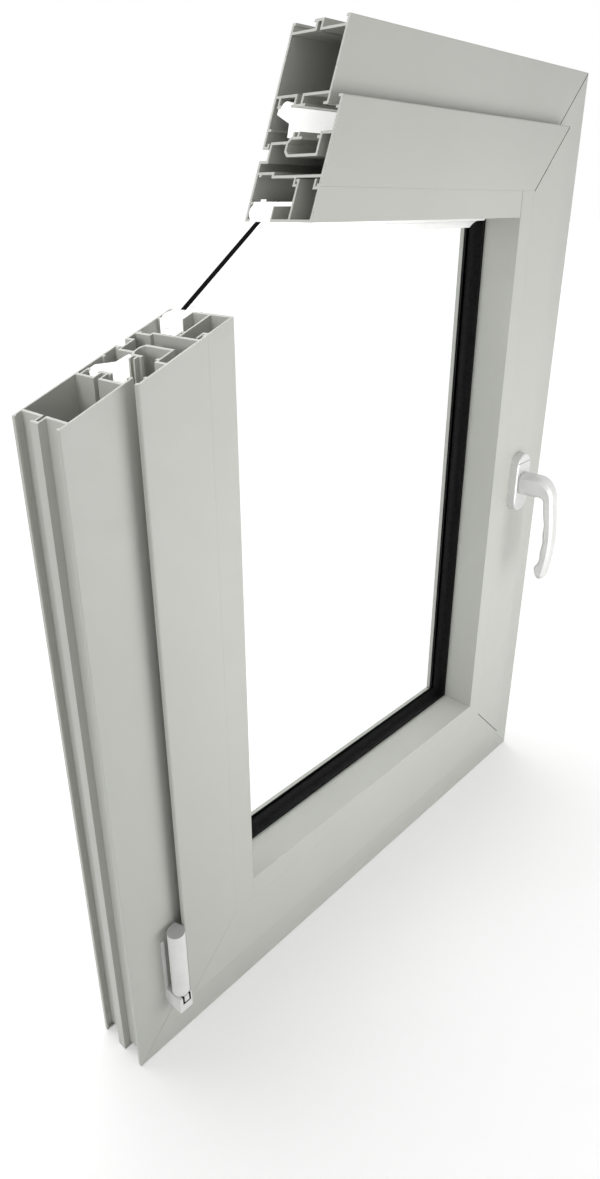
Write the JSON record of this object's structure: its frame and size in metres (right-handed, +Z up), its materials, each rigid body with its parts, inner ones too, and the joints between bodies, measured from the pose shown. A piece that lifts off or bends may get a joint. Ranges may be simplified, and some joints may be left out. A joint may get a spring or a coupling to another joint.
{
  "type": "window frame profile section",
  "caption": "Cut-away aluminium window sample: mitred frame and inward-opening sash in extruded profiles, glazed, with lever handle and corner hinge, one corner sawn off.",
  "frame": {"origin": "middle of the sill's length and depth, on the underside of the rib that it stands on", "axes": "+X along the sill towards the handle side, +Y from the room to the outside, +Z up"},
  "size_m": [0.549, 0.1048, 0.705],
  "materials": {
    "coated_aluminium": "satin powder coat",
    "mill_aluminium": "as extruded",
    "clear_glass": "clear float glass",
    "white_seal": "matt",
    "black_seal": "matt",
    "handle_metal": "white satin coat",
    "hinge_metal": "white satin coat",
    "zinc_steel": "zinc plated"
  },
  "bodies": {
    "frame": {"frame_left_jamb": "coated_aluminium", "frame_sill": "coated_aluminium", "frame_right_jamb": "coated_aluminium", "frame_head": "coated_aluminium", "frame_cleat_low_left": "mill_aluminium", "frame_cleat_low_right": "mill_aluminium", "frame_cleat_top_right": "mill_aluminium", "central_seal_left": "white_seal", "central_seal_bottom": "black_seal", "central_seal_right": "black_seal", "central_seal_top": "white_seal", "hinge_bearing": "hinge_metal", "hinge_pin": "zinc_steel"},
    "sash": {"sash_left_stile": "coated_aluminium", "sash_bottom_rail": "coated_aluminium", "sash_right_stile": "coated_aluminium", "sash_top_rail": "coated_aluminium", "sash_cleat_low_left": "mill_aluminium", "sash_cleat_low_right": "mill_aluminium", "sash_cleat_top_right": "mill_aluminium", "bead_left": "coated_aluminium", "bead_bottom": "coated_aluminium", "bead_right": "coated_aluminium", "bead_top": "coated_aluminium", "glass_pane": "clear_glass", "setting_block_left": "black_seal", "setting_block_right": "black_seal", "inner_seal_left": "white_seal", "inner_seal_bottom": "black_seal", "inner_seal_right": "black_seal", "inner_seal_top": "white_seal", "outer_seal_left": "white_seal", "outer_seal_bottom": "black_seal", "outer_seal_right": "black_seal", "outer_seal_top": "white_seal", "handle_base": "handle_metal", "hinge_knuckle": "hinge_metal"},
    "handle": {"handle_lever": "handle_metal", "handle_spindle": "zinc_steel"}
  },
  "joints": [
    {"name": "sash_turn", "type": "hinge", "parent": "frame", "child": "sash", "pos_m": [-0.2391, -0.0339, 0.06165], "axis": [0, 0, -1], "range_deg": [0, 90]},
    {"name": "handle_turn", "type": "hinge", "parent": "sash", "child": "handle", "pos_m": [0.2035, -0.0339, 0.3555], "axis": [0, 1, 0], "range_deg": [0, 90]}
  ]
}
